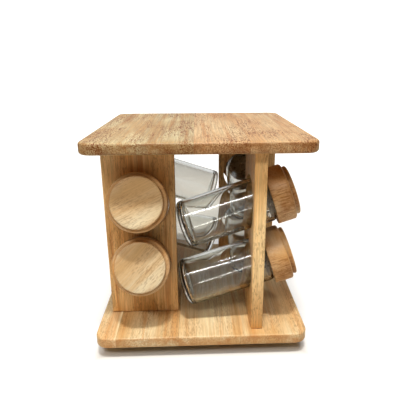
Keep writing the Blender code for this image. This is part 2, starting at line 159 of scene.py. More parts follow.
RACE_BEND = 0.2 * MM
CAGE_WIDTH = 4.6 * MM
CAGE_THICKNESS = 1.0 * MM
BALL_COUNT = 12
FOOT_CIRCLE = 62.0 * MM
FOOT_EDGE = 0.9 * MM
FOOT_EASE = 0.3 * MM
FOOT_DISH = 0.35 * MM
FOOT_STEM_RADIUS = 2.2 * MM
FOOT_BARB = 0.8 * MM
PLATE_SCREW_CIRCLE = 54.0 * MM


# ---------------------------------------------------------------- camera, floor and light

LENS = 36.0
SENSOR_WIDTH = 36.0
LENS_SHIFT = (-0.0303, -0.0422)
CAMERA_PLACE = (-0.0025, -0.4160, 0.2653)
CAMERA_DOWN = 16.65
CAMERA_YAW = -2.21
CAMERA_ROLL = -0.18
FLOOR_RADIUS = 60.0

RACK_MIDDLE = Vector((0.0, 0.0, 0.10))
HORIZON_LIGHT = 0.03
ZENITH_LIGHT = 0.24
FRONT_REFLECTION = 0.16
BACK_REFLECTION = 0.60
THROUGH_GLASS = 0.72
GLOW_IN_GLASS = 0.30
WARM_FILL = (1.0, 0.74, 0.46, 1.0)
WHITE = (1.0, 1.0, 1.0, 1.0)
# painted light: the floor's glow, left off under the rack as a painted shadow
FLOOR_GLOW = 0.44
FLOOR_GLOW_FAR = 0.62


def set_camera():
    """A camera fitted to the photograph by the corners of the two boards."""
    camera = bpy.data.objects.new("camera", bpy.data.cameras.new("camera"))
    bpy.context.scene.collection.objects.link(camera)
    camera.data.lens = LENS
    camera.data.sensor_width = SENSOR_WIDTH
    camera.data.shift_x, camera.data.shift_y = LENS_SHIFT
    camera.location = CAMERA_PLACE
    pitch = Matrix.Rotation(math.radians(90 - CAMERA_DOWN), 3, "X")
    yaw = Matrix.Rotation(math.radians(CAMERA_YAW), 3, "Z")
    roll = Matrix.Rotation(math.radians(CAMERA_ROLL), 3, "Z")
    camera.rotation_euler = (yaw @ pitch @ roll).to_euler()
    camera.data.clip_start = 0.01
    bpy.context.scene.camera = camera


def add_floor():
    """A large pale disc, far wider than any view of it."""
    bm = bmesh.new()
    bmesh.ops.create_circle(bm, cap_ends=True, segments=96, radius=FLOOR_RADIUS)
    floor = add_piece("floor", bm_to_mesh(bm), floor_material())


def add_lamp(name, aim, distance, width, depth, power):
    """A rectangular lamp that shines at the rack from the direction aim: (x, y) for each 1 up."""
    light = bpy.data.lights.new(name, "AREA")
    light.shape = "RECTANGLE"
    light.size = width
    light.size_y = depth
    light.energy = power
    item = bpy.data.objects.new(name, light)
    direction = Vector((*aim, 1.0)).normalized()
    item.location = RACK_MIDDLE + distance * direction
    item.rotation_euler = direction.to_track_quat("Z", "Y").to_euler()
    bpy.context.scene.collection.objects.link(item)


def set_light():
    """A white backdrop, dimmer in front, a weak warm fill, and a few lamps above in front."""
    world = Tree("studio", bpy.data.worlds.new("studio"))
    direction = world.add("ShaderNodeSeparateXYZ",
                          {0: world.add("ShaderNodeTexCoord").outputs["Generated"]}).outputs
    rays = world.add("ShaderNodeLightPath").outputs
    fill = world.span(direction["Z"], 0.0, 1.0, HORIZON_LIGHT, ZENITH_LIGHT)
    backdrop = world.span(direction["Y"], -0.2, 0.3, FRONT_REFLECTION, BACK_REFLECTION)
    through = world.math("MULTIPLY", rays["Is Transmission Ray"], THROUGH_GLASS)
    through = world.math("MAXIMUM", through, rays["Is Camera Ray"])
    backdrop = world.math("MAXIMUM", backdrop, through)
    scattered = rays["Is Diffuse Ray"]
    strength = world.blend(scattered, backdrop, fill)
    world.set(Color=world.blend(scattered, WHITE, WARM_FILL), Strength=strength)
    bpy.context.scene.world = world.owner
    add_lamp("lamp_above", (0.0, -0.28), 1.6, 0.16, 0.10, 14.0)
    add_lamp("lamp_above_left", (-0.45, -0.30), 1.7, 0.20, 0.10, 3.2)
    add_lamp("lamp_right", (0.32, -0.22), 1.7, 0.14, 0.14, 4.0)
    add_lamp("lamp_front", (-0.30, -0.82), 1.8, 1.20, 0.10, 9.2)
    add_lamp("softbox_front", (-0.30, -0.86), 2.0, 1.50, 0.50, 2.4)
    bpy.context.scene.view_settings.view_transform = "Standard"
    bpy.context.scene.view_settings.look = "Medium High Contrast"


# ---------------------------------------------------------------- node helpers

class Tree:
    """Short calls that add nodes to a material's or a world's tree and link them up."""

    def __init__(self, name, owner=None):
        self.owner = owner or bpy.data.materials.new(name)
        self.owner.use_nodes = True
        self.tree = self.owner.node_tree
        self.shader = self.tree.nodes["Background" if owner else "Principled BSDF"]

    def feed(self, node, socket, value):
        """Links a socket to another node's output, or sets it to a plain value."""
        target = node.inputs[socket]
        if isinstance(value, bpy.types.NodeSocket):
            self.tree.links.new(value, target)
        else:
            target.default_value = value

    def add(self, kind, inputs=None, **settings):
        node = self.tree.nodes.new(kind)
        for key, value in settings.items():
            setattr(node, key, value)
        for socket, value in (inputs or {}).items():
            self.feed(node, socket, value)
        return node

    def math(self, operation, first, second=0.0):
        return self.add("ShaderNodeMath", {0: first, 1: second}, operation=operation).outputs[0]

    def point(self, x, y, z):
        return self.add("ShaderNodeCombineXYZ", {0: x, 1: y, 2: z}).outputs[0]

    def noise(self, vector, detail=3.0, roughness=0.5):
        inputs = {"Vector": vector, "Scale": 1.0, "Detail": detail, "Roughness": roughness}
        return self.add("ShaderNodeTexNoise", inputs).outputs["Fac"]

    def mottle(self, place, rates, detail=2.0, roughness=0.5):
        """Noise with that many features in each millimetre along each of three axes."""
        scaled = [self.math("MULTIPLY", value, rate) for value, rate in zip(place, rates)]
        return self.noise(self.point(*scaled), detail=detail, roughness=roughness)

    def length(self, first, second):
        """The length of the two sides' diagonal."""
        squares = [self.math("MULTIPLY", value, value) for value in (first, second)]
        return self.math("SQRT", self.math("ADD", *squares))

    def random(self, value):
        """A steady random number from 0 to 1 for each value."""
        node = self.add("ShaderNodeTexWhiteNoise", {"W": value}, noise_dimensions="1D")
        return node.outputs["Value"]

    def span(self, value, low, high, out_low=0.0, out_high=1.0):
        """Carries value from the span low..high to out_low..out_high, held at the ends."""
        inputs = {0: value, 1: low, 2: high, 3: out_low, 4: out_high}
        return self.add("ShaderNodeMapRange", inputs, interpolation_type="SMOOTHSTEP").outputs[0]

    def blend(self, factor, first, second, kind="MIX"):
        node = self.add("ShaderNodeMix", data_type="RGBA", blend_type=kind)
        self.feed(node, 0, factor)
        self.feed(node, 6, first)
        self.feed(node, 7, second)
        return node.outputs[2]

    def bump(self, height, distance, strength=1.0):
        inputs = {"Height": height, "Distance": distance, "Strength": strength}
        return self.add("ShaderNodeBump", inputs).outputs["Normal"]

    def set(self, **values):
        """Sets or links the shader's own sockets, named with underscores for spaces."""
        for name, value in values.items():
            self.feed(self.shader, name.replace("_", " "), value)

    def place_in_mm(self):
        """The object's own coordinates in millimetres, as three separate outputs."""
        coordinates = self.add("ShaderNodeTexCoord").outputs["Object"]
        scaled = self.add("ShaderNodeVectorMath", {0: coordinates, 3: 1000.0}, operation="SCALE")
        return self.add("ShaderNodeSeparateXYZ", {0: scaled.outputs[0]}).outputs


def colour(red, green, blue):
    """A colour given as screen values from 0 to 255, made linear."""
    linear = []
    for value in (red, green, blue):
        share = value / 255
        linear.append(share / 12.92 if share <= 0.04045 else ((share + 0.055) / 1.055) ** 2.4)
    return (*linear, 1.0)


# ---------------------------------------------------------------- materials

PORE_BROWN = (118, 64, 22)
SEAM_BROWN = (120, 78, 44)
PINK_STRIP = (200, 148, 104)
WARMER_RIM_COLOUR = (198, 136, 64)
WOOD_ROUGHNESS = 0.36


def end_grain_over(tree, body, field, grain, tint, share, speck):
    """Shows the darker, speckled end grain where the wood is cut across its fibres."""
    facing = tree.add("ShaderNodeTexCoord").outputs["Normal"]
    parts = tree.add("ShaderNodeSeparateXYZ", {0: facing}).outputs
    cut = tree.span(tree.math("ABSOLUTE", parts["XYZ".index(grain)]), 0.60, 0.95)
    specks = tree.span(field(0.2, *speck, detail=3.0, roughness=0.7), 0.46, 0.62)
    blotch = tree.span(field(0.0, 0.045, 0.10, detail=3.0), 0.42, 0.66)
    end_wood = tree.blend(tree.math("MULTIPLY", specks, 0.65), body, colour(*tint))
    end_wood = tree.blend(tree.math("MULTIPLY", blotch, 0.55), end_wood, colour(*tint))
    return tree.blend(tree.math("MULTIPLY", cut, share), body, end_wood)


def rubberwood(name, seed, pale, deep, rich, grain="Y", stave=0.0, rich_share=0.5,
               pith=(35.0, 60.0), ring=3.6, ring_strength=0.5, fine=0.34, pore_strength=0.6,
               end_grain=(150, 102, 58), end_shade=0.6, end_speck=(0.9, 0.9), rim=0.0):
    """Rubberwood: rings about a distant pith, fine fibres, warm streaks and short dark pores.

    pale, deep and rich are the wood's main colour, its shade and its streaks. grain names the
    object's own axis that the fibres run along. stave is the width in millimetres of the glued
    strips, or zero for a single piece. pith is how far away the pith lies, across and inward,
    and ring is how wide the rings are, in millimetres. fine is how far the fibres vary in
    shade. end_speck is how many flecks a millimetre of end grain shows each way. Beyond the
    radius rim, turned edges are made warmer and darker.
    """
    tree = Tree(name)
    x, y, z = tree.place_in_mm()
    along, across, inward = {"X": (x, y, z), "Y": (y, x, z), "Z": (z, x, y)}[grain]
    along = tree.math("ADD", along, seed * 37.0)
    tone = 0.5
    seam = 0.0
    if stave:
        strip = tree.math("DIVIDE", tree.math("ADD", across, seed * 11.0 + 500.0), stave)
        number = tree.math("FLOOR", strip)
        tone = tree.random(tree.math("ADD", number, seed * 3.1))
        edge = tree.math("ABSOLUTE", tree.math("SUBTRACT", tree.math("FRACT", strip), 0.5))
        seam = tree.span(edge, 0.5 - 0.35 / stave, 0.5)
        across = tree.math("ADD", across, tree.math("MULTIPLY", tone, 190.0))
        along = tree.math("ADD", along, tree.math("MULTIPLY", tone, 900.0))

    def field(per_along, per_across, per_inward, detail=2.0, roughness=0.5):
        rates = (per_along, per_across, per_inward)
        return tree.mottle((along, across, inward), rates, detail, roughness)

    swing = tree.math("MULTIPLY", tree.math("SUBTRACT", field(0.008, 0.02, 0.02), 0.5), 9.0)
    side = tree.math("ADD", tree.math("ADD", across, pith[0] + seed * 3.0), swing)
    radius = tree.length(side, tree.math("ADD", inward, pith[1]))
    rings = tree.noise(tree.point(tree.math("DIVIDE", radius, ring), seed * 5.3,
                                  tree.math("MULTIPLY", along, 0.005)), detail=4.0, roughness=0.7)
    fibre = field(0.02, 0.8, 0.8, detail=3.0, roughness=0.75)
    streak = field(0.006, 0.13, 0.13, detail=4.0, roughness=0.65)
    cloud = field(0.010, 0.035, 0.035)
    fine_pores = tree.span(field(0.26, 1.0, 1.0), 0.53, 0.61)
    long_pores = tree.span(field(0.07, 0.8, 0.8), 0.57, 0.66)
    patches = tree.span(field(0.02, 0.05, 0.05, detail=3.0), 0.38, 0.62, 0.15, 1.0)
    pores = tree.math("MULTIPLY", tree.math("MAXIMUM", fine_pores, long_pores), patches)
    pores = tree.math("MULTIPLY", pores, pore_strength)

    body = tree.blend(tree.span(cloud, 0.3, 0.7), colour(*pale), colour(*deep))
    body = tree.blend(tree.span(rings, 0.42, 0.66, 0.0, ring_strength), body, colour(*deep))
    body = tree.blend(tree.span(streak, 0.48, 0.66, 0.0, rich_share), body, colour(*rich))
    shade = tree.span(fibre, 0.32, 0.68, 1.10 - fine, 1.10)
    if stave:
        shade = tree.math("MULTIPLY", shade, tree.span(tone, 0.0, 1.0, 0.88, 1.06))
        body = tree.blend(tree.span(tone, 0.55, 1.0, 0.0, 0.40), body, colour(*PINK_STRIP))
    grey = tree.add("ShaderNodeCombineColor", {0: shade, 1: shade, 2: shade}).outputs[0]
    body = tree.blend(1.0, body, grey, "MULTIPLY")
    body = tree.blend(pores, body, colour(*PORE_BROWN))
    body = tree.blend(tree.math("MULTIPLY", seam, 0.35), body, colour(*SEAM_BROWN))
    if rim:
        # beyond the radius rim, the turned edge is made warmer and darker
        warmer_rim = tree.span(tree.length(x, y), rim - 1.0, rim + 0.4, 0.0, 0.42)
        body = tree.blend(warmer_rim, body, colour(*WARMER_RIM_COLOUR))
    body = end_grain_over(tree, body, field, grain, end_grain, end_shade, end_speck)

    relief = tree.math("SUBTRACT", tree.math("MULTIPLY", fibre, 0.35), pores)
    relief = tree.math("SUBTRACT", relief, seam)
    roughness = tree.math("ADD", tree.math("MULTIPLY", fibre, 0.16), WOOD_ROUGHNESS)
    tree.set(Base_Color=body, Normal=tree.bump(relief, 0.00012, 0.5), Roughness=roughness)
    tree.set(Coat_Weight=0.04, Coat_Roughness=0.25, Specular_IOR_Level=0.32)
    return tree.owner


def clear_glass():
    """Pressed soda glass: clear in the middle, grey-green at its edges, with slow shallow waves.
    The green at the edges is the tint of thick glass; the grey darkening there is painted shade for
    the glass's dark outlines.
    """
    tree = Tree("jar_glass")
    place = tree.place_in_mm()
    waves = tree.mottle(place, (0.09, 0.09, 0.02), detail=1.0)
    smear = tree.mottle(place, (0.05, 0.05, 0.05), detail=5.0, roughness=0.7)
    # painted shade: towards grazing edges the colour darkens to grey-green, partly the real green
    # of thick glass, partly painted shade for dark outlines
    edge = tree.add("ShaderNodeLayerWeight", {"Blend": 0.5}).outputs["Facing"]
    tint = tree.blend(tree.span(edge, 0.50, 0.95), (0.93, 0.935, 0.915, 1.0),
                      (0.42, 0.47, 0.43, 1.0))
    tree.set(Base_Color=tint, Transmission_Weight=1.0, IOR=1.5,
             Roughness=tree.span(smear, 0.45, 0.75, 0.01, 0.05),
             Normal=tree.bump(waves, 0.0008, 0.12))
    return tree.owner


def plug_plastic():
    """Translucent polyethylene that lets the wood behind it show, matt where it is handled."""
    tree = Tree("plug_plastic")
    cloud = tree.mottle(tree.place_in_mm(), (0.4, 0.4, 0.4), detail=4.0)
    body = tree.blend(cloud, colour(196, 176, 146), colour(218, 202, 176))
    tree.set(Base_Color=body, Roughness=tree.span(cloud, 0.2, 0.8, 0.22, 0.40),
             Transmission_Weight=0.88, IOR=1.40, Normal=tree.bump(cloud, 0.0001, 0.25))
    return tree.owner


def plated_steel():
    """Zinc-plated pressed steel, with a faint spangle, rubbed lines and a few scuffs."""
    tree = Tree("plated_steel")
    place = tree.place_in_mm()
    spangle = tree.add("ShaderNodeTexVoronoi", {"Vector": tree.point(*place), "Scale": 0.35})
    lines = tree.mottle(place, (0.06, 2.5, 2.5), detail=3.0)
    scuff = tree.mottle(place, (0.12, 0.12, 0.12), detail=6.0, roughness=0.7)
    facets = tree.span(spangle.outputs["Distance"], 0.0, 1.0)
    body = tree.blend(facets, colour(176, 178, 180), colour(206, 207, 206))
    body = tree.blend(tree.span(scuff, 0.58, 0.72, 0.0, 0.5), body, colour(140, 138, 134))
    rough = tree.math("ADD", tree.span(lines, 0.3, 0.7, 0.22, 0.36),
                      tree.span(scuff, 0.55, 0.75, 0.0, 0.22))
    tree.set(Base_Color=body, Metallic=1.0, Roughness=rough,
             Normal=tree.bump(lines, 0.00005, 0.3))
    return tree.owner


def foot_rubber():
    """Matt black rubber with a fine moulded grain and a little grey dust."""
    tree = Tree("foot_rubber")
    place = tree.place_in_mm()
    grain = tree.mottle(place, (3.0, 3.0, 3.0), detail=3.0)
    dust = tree.mottle(place, (0.3, 0.3, 0.3), detail=5.0)
    body = tree.blend(tree.span(dust, 0.5, 0.8, 0.0, 0.35), colour(34, 34, 35), colour(92, 90, 86))
    tree.set(Base_Color=body, Roughness=tree.span(grain, 0.3, 0.7, 0.62, 0.85),
             Normal=tree.bump(grain, 0.00008, 0.5))
    return tree.owner


def floor_material():
    """A plain white matt sweep that glows with painted light. It shows brighter than it lights the
    rack, as a cut-out does; the glow is left off under the rack as a painted shadow there and grows
    stronger far away.
    """
    tree = Tree("floor")
    x, y, z = tree.place_in_mm()
    cloud = tree.mottle((x, y, z), (0.004, 0.004, 1.0))
    reach = tree.math("MAXIMUM", tree.math("ABSOLUTE", x), tree.math("ABSOLUTE", y))
    # painted shadow: no glow under the rack, fading in just past its edge, so the floor looks
    # shaded there
    glow_with_painted_shadow_under_rack = tree.span(reach, 92.0, 110.0, 0.0, FLOOR_GLOW)
    # painted light: the glow grows stronger far from the rack
    glow = tree.math("ADD", glow_with_painted_shadow_under_rack, tree.span(reach, 150.0, 1500.0, 0.0, FLOOR_GLOW_FAR))
    rays = tree.add("ShaderNodeLightPath").outputs
    seen = tree.math("MAXIMUM", rays["Is Camera Ray"],
                     tree.math("MULTIPLY", rays["Is Transmission Ray"], GLOW_IN_GLASS))
    tree.set(Base_Color=tree.blend(cloud, (0.61, 0.59, 0.55, 1.0), (0.63, 0.61, 0.57, 1.0)),
             Roughness=0.9, Emission_Color=(0.92, 0.96, 1.0, 1.0),
             Emission_Strength=tree.math("MULTIPLY", glow, seen))
    return tree.owner


# ---------------------------------------------------------------- shapes

SHARP_ANGLE = 30.0
SLOT_RATIO = 0.24
SLOT_TAPER = 0.55


def bm_to_mesh(bm):
    bmesh.ops.recalc_face_normals(bm, faces=bm.faces)
    mesh = bpy.data.meshes.new("mesh")
    bm.to_mesh(mesh)
    bm.free()
    return mesh


def add_piece(name, mesh, material, matrix=None):
    """Adds a mesh as a named piece, at a matrix in metres."""
    mesh.name = name
    mesh.materials.clear()
    mesh.materials.append(material)
    mesh.shade_smooth()
    mesh.set_sharp_from_angle(angle=math.radians(SHARP_ANGLE))
    item = bpy.data.objects.new(name, mesh)
    bpy.context.scene.collection.objects.link(item)
    item.matrix_world = matrix or Matrix()
    return item


def stand_for(piece, body, slot, *nodes):
    """Lets a piece stand for CAD nodes on a body."""
    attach(piece, body)
    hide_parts(*nodes)


def arc(radius, height, size, start, sweep, steps):
    """Points on a circle of the given size about (radius, height), through sweep degrees."""
    points = []
    for step in range(steps + 1):
        angle = math.radians(start + sweep * step / steps)
        points.append((radius + size * math.cos(angle), height + size * math.sin(angle)))
    return points


def turned(outline, sides=96):
    """Turns a closed outline of (radius, height) points about Z."""
    bm = bmesh.new()
    verts = [bm.verts.new((radius, 0.0, height)) for radius, height in outline]
    edges = [bm.edges.new(pair) for pair in zip(verts, verts[1:])]
    if outline[0][0] > 0:
        edges.append(bm.edges.new((verts[-1], verts[0])))
    bmesh.ops.spin(bm, geom=verts + edges, cent=(0, 0, 0), axis=(0, 0, 1), angle=math.tau,
                   steps=sides, use_merge=True)
    bmesh.ops.remove_doubles(bm, verts=bm.verts, dist=1e-6)
    return bm_to_mesh(bm)


def add_loop(curve, points):
    spline = curve.splines.new("POLY")
    spline.points.add(len(points) - 1)
    for target, (x, y) in zip(spline.points, points):
        target.co = (x, y, 0.0, 1.0)
    spline.use_cyclic_u = True


def round_rectangle(width, height, corner, steps):
    """Points anticlockwise round a rectangle with rounded corners."""
    points = []
    for quarter, (side_x, side_y) in enumerate(((1, 1), (-1, 1), (-1, -1), (1, -1))):
        centre_x = side_x * (width / 2 - corner)
        centre_y = side_y * (height / 2 - corner)
        points += arc(centre_x, centre_y, corner, 90 * quarter, 90, steps)
    return points


def sawn(outline, holes, thickness, rounding, steps):
    """A flat board of that outline and round holes, with every edge rounded over.

    It lies in its own XY plane, centred on it. Each hole is (x, y, radius).
    """
    curve = bpy.data.curves.new("outline", "CURVE")
    curve.dimensions = "2D"
    curve.fill_mode = "BOTH"
    curve.extrude = thickness / 2 - rounding
    curve.bevel_depth = rounding
    curve.bevel_resolution = steps
    curve.offset = -rounding
    add_loop(curve, outline)
    for x, y, radius in holes:
        add_loop(curve, arc(x, y, radius, 360, -360 + 360 / HOLE_SIDES, HOLE_SIDES - 1))
    item = bpy.data.objects.new("outline", curve)
    bpy.context.scene.collection.objects.link(item)
    graph = bpy.context.evaluated_depsgraph_get()
    mesh = bpy.data.meshes.new_from_object(item.evaluated_get(graph))
    bpy.data.objects.remove(item, do_unlink=True)
    bm = bmesh.new()
    bm.from_mesh(mesh)
    bmesh.ops.remove_doubles(bm, verts=bm.verts, dist=2e-6)
    return bm_to_mesh(bm)


def join(meshes_and_places):
    """One mesh from several, each at its own matrix."""
    bm = bmesh.new()
    for mesh, matrix in meshes_and_places:
        start = len(bm.verts)
        bm.from_mesh(mesh)
        bm.verts.ensure_lookup_table()
        bmesh.ops.transform(bm, matrix=matrix, verts=bm.verts[start:])
    return bm_to_mesh(bm)


def carve(solid, tool, operation="DIFFERENCE"):
    """Cuts the tool from the solid, or joins it on, and returns the mesh that results."""
    body = bpy.data.objects.new("body", solid)
    cutter = bpy.data.objects.new("cutter", tool)
    for item in (body, cutter):
        bpy.context.scene.collection.objects.link(item)
    modifier = body.modifiers.new("cut", "BOOLEAN")
    modifier.object = cutter
    modifier.operation = operation
    modifier.solver = "EXACT"
    graph = bpy.context.evaluated_depsgraph_get()
    mesh = bpy.data.meshes.new_from_object(body.evaluated_get(graph))
    bpy.data.objects.remove(body, do_unlink=True)
    bpy.data.objects.remove(cutter, do_unlink=True)
    return mesh


def cross_slotted(screw, width, depth):
    """Cuts a cross slot, narrower as it goes in, up into a screw whose head is at height zero."""
    for turn in (0, 90):
        bm = bmesh.new()
        bar = bmesh.ops.create_cube(bm, size=1.0)["verts"]
        for vert in bar:
            taper = SLOT_TAPER if vert.co.z > 0 else 1.0
            vert.co = (vert.co.x * width * taper, vert.co.y * width * SLOT_RATIO * taper,
                       vert.co.z * 2 * depth)
        bmesh.ops.rotate(bm, verts=bar, matrix=Matrix.Rotation(math.radians(turn), 3, "Z"))
        screw = carve(screw, bm_to_mesh(bm))
    return screw


def quarter_turn(side):
    return Matrix.Rotation(math.radians(90 * side), 4, "Z")


def on_circle(radius, angle, height=0.0):
    return Matrix.Translation((radius * math.cos(angle), radius * math.sin(angle), height))


def hole_on_circle(circle, angle, radius):
    """A round hole, as (x, y, radius), at an angle on a circle about the middle."""
    return circle * math.cos(angle), circle * math.sin(angle), radius


def panel_matrix(side):
    """Where a panel's middle lies. Its own axes there are width, out of the face, and up."""
    return quarter_turn(side) @ Matrix.Translation(PANEL_MIDDLE)


def jar_matrix(side, height):
    """The middle of a panel hole, with Z out along the jar's tilted axis."""
    tip_out = Matrix.Rotation(math.radians(90) - JAR_TILT, 4, "X")
    return panel_matrix(side) @ Matrix.Translation((HOLE_SIDEWAYS, 0, height)) @ tip_out


def middle(name):
    """The middle of a CAD node's box."""
    low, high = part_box(name)
    return (low + high) / 2


# ---------------------------------------------------------------- boards and panels

def make_boards():
    """The two boards; the base has countersunk holes for the panels' screws."""
    outline = round_rectangle(BOARD_SIDE, BOARD_SIDE, BOARD_CORNER, 12)
    board = sawn(outline, [], BOARD_THICKNESS, BOARD_ROUND, 5)
    top_wood = rubberwood("top_board_wood", 1.0, pale=(208, 194, 153), deep=(182, 147, 98),
                          rich=(168, 116, 60), stave=46.0, rich_share=0.65, pore_strength=1.0,
                          end_grain=(128, 80, 38), end_shade=1.0)
    base_wood = rubberwood("base_board_wood", 4.0, pale=(240, 224, 184), deep=(218, 178, 124),
                           rich=(204, 144, 80), stave=58.0, rich_share=0.55, fine=0.20,
                           pore_strength=0.35, end_grain=(186, 124, 66), end_shade=0.8)
    top = add_piece("top", board, top_wood, Matrix.Translation(middle("top_board")))
    stand_for(top, "carousel", "board_wood", "top_board")

    middle_of_base = middle("base_board")
    underside = BASE_LOW.z - middle_of_base.z
    head = SCREW_HEAD_RADIUS + SCREW_PLAY
    sink = [(0, underside - HEAD_DEPTH), (head, underside - HEAD_DEPTH), (head, underside + GAP),
            (SCREW_RADIUS + SCREW_PLAY, underside + HEAD_DEPTH + GAP),
            (SCREW_RADIUS + SCREW_PLAY, 0), (0, 0)]
    sinks = []
    for name in PANEL_SCREWS:
        place = middle(name)
        sinks.append((turned(sink, 32), Matrix.Translation((place.x, place.y, 0))))
    base_mesh = carve(sawn(outline, [], BOARD_THICKNESS, BASE_ROUND, 5), join(sinks))
    base = add_piece("base", base_mesh, base_wood, Matrix.Translation(middle_of_base))
    stand_for(base, "carousel", "board_wood", "base_board")


def make_panels():
    """Four upright panels with two round holes each, set like a pinwheel."""
    outline = round_rectangle(PANEL_WIDTH, PANEL_HEIGHT, PANEL_ROUND * 1.1, 3)
    holes = [(HOLE_SIDEWAYS, height, HOLE_RADIUS) for _level, height in LEVELS]
    blank = sawn(outline, holes, PANEL_THICKNESS, PANEL_ROUND, 3)
    stand_up = Matrix.Rotation(math.radians(90), 4, "X")
    for side, side_name in enumerate(SIDES):
        wood = rubberwood(f"panel_wood_{side_name}", 7.0 + 2.3 * side, pale=(255, 224, 170),
                          deep=(228, 178, 114), rich=(196, 126, 62), rich_share=0.6,
                          pith=(20.0, 40.0), ring=4.2, fine=0.28, pore_strength=0.4,
                          end_shade=0.4)
        panel = add_piece("upright_" + side_name, blank.copy(), wood, panel_matrix(side) @ stand_up)
        stand_for(panel, "carousel", "panel_wood", "panel_" + side_name)


# ---------------------------------------------------------------- jars

def jar_outline():
    """The glass: a hollow under the foot, a straight wall, a shoulder, a rim and the bore."""
    bottom = -JAR_INSIDE
    rim = CAP_SEAT + JAR_RIM_IN_CAP
    bore = JAR_BORE_RADIUS
    floor = bottom + JAR_FLOOR
    lip = (JAR_RIM_RADIUS - bore) / 2
    outline = [(0, bottom + JAR_HOLLOW_DEPTH)]
    outline += [(JAR_HOLLOW_MIDDLE, bottom + 1.0 * MM), (JAR_HOLLOW_EDGE, bottom + 0.35 * MM)]
    outline += [(JAR_FOOT_RING_INNER, bottom), (JAR_FOOT_RING_OUTER, bottom)]
    outline += arc(JAR_RADIUS - JAR_FOOT_ROUND, bottom + JAR_FOOT_ROUND, JAR_FOOT_ROUND, -82, 82, 9)
    outline += [(JAR_RADIUS, CAP_SEAT - JAR_STRAIGHT_TO), (JAR_RADIUS, CAP_SEAT - JAR_SHOULDER_LOW)]
    outline += [(JAR_RADIUS - 0.3 * MM, CAP_SEAT - JAR_SHOULDER_MIDDLE)]
    outline += [(JAR_RIM_RADIUS + 0.1 * MM, CAP_SEAT - JAR_SHOULDER_HIGH)]
    outline += [(JAR_RIM_RADIUS, CAP_SEAT - JAR_RIM_LOW), (JAR_RIM_RADIUS, rim - lip)]
    outline += arc(JAR_RIM_RADIUS - lip, rim - lip, lip, 10, 160, 5)
    outline += [(bore, rim - 1.2 * MM), (bore, CAP_SEAT - JAR_BORE_STRAIGHT_TO)]
    outline += arc(bore - JAR_BORE_ROUND, floor + JAR_BORE_ROUND, JAR_BORE_ROUND, 0, -80, 7)
    outline += [(JAR_HOLLOW_MIDDLE, floor + 0.2 * MM), (0, floor + 0.5 * MM)]
    return outline


def cap_outline():
    """Two turned tiers with a groove between them, over a recess that takes the plug."""
    shoulder = CAP_SEAT + CAP_TIER
    face = shoulder + CAP_KNOB
    roof = CAP_SEAT + CAP_RECESS
    tier = CAP_RADIUS - CAP_TIER_ROUND
    knob = CAP_KNOB_RADIUS - CAP_KNOB_ROUND
    outline = [(0, roof), (CAP_RECESS_RADIUS, roof), (CAP_RECESS_RADIUS, CAP_SEAT + CAP_EASE / 2)]
    outline += [(CAP_RECESS_RADIUS + CAP_EASE / 2, CAP_SEAT)]
    outline += arc(CAP_RADIUS - CAP_EASE, CAP_SEAT + CAP_EASE, CAP_EASE, -90, 90, 4)
    outline += arc(tier, shoulder - CAP_TIER_ROUND, CAP_TIER_ROUND, 0, 84, 8)
    outline += [(CAP_KNOB_RADIUS + 0.1 * MM, shoulder - 0.1 * MM)]
    outline += arc(CAP_KNOB_RADIUS, shoulder + CAP_GROOVE / 2, CAP_GROOVE, -110, -80, 4)
    outline += [(CAP_KNOB_RADIUS, face - CAP_KNOB_ROUND)]
    outline += arc(knob, face - CAP_KNOB_ROUND, CAP_KNOB_ROUND, 8, 76, 7)
    outline += [(CAP_KNOB_RADIUS - CAP_FACE_INSET, face), (0, face)]
    return outline


def plug_outline():
    """A hollow plug with a flange that fills the cap's recess, and ribs that grip the bore."""
    roof = CAP_SEAT + CAP_RECESS - GAP
    flange = roof - PLUG_FLANGE
    end = roof - PLUG_LENGTH
    hollow = PLUG_RADIUS - PLUG_WALL
    groove = PLUG_RADIUS - PLUG_RIB
    rim = PLUG_FLANGE_RADIUS - PLUG_FLANGE_EASE
    outline = [(0, flange), (hollow - 0.6 * MM, flange), (hollow, flange - 0.6 * MM)]
    outline += [(hollow, end + 0.4 * MM), (hollow + 0.4 * MM, end)]
    outline += [(PLUG_RADIUS - 0.8 * MM, end), (PLUG_RADIUS - 0.4 * MM, end + 0.5 * MM)]
    for rib in range(PLUG_RIB_COUNT):
        centre = end + PLUG_FIRST_RIB + PLUG_RIB_SPACING * rib
        outline += arc(groove, centre, PLUG_RIB, -90, 180, 6)
    outline += [(groove, flange), (rim, flange)]
    outline += [(PLUG_FLANGE_RADIUS, flange + PLUG_FLANGE_EASE)]
    outline += [(PLUG_FLANGE_RADIUS, roof - PLUG_FLANGE_EASE), (rim, roof), (0, roof)]
    return outline


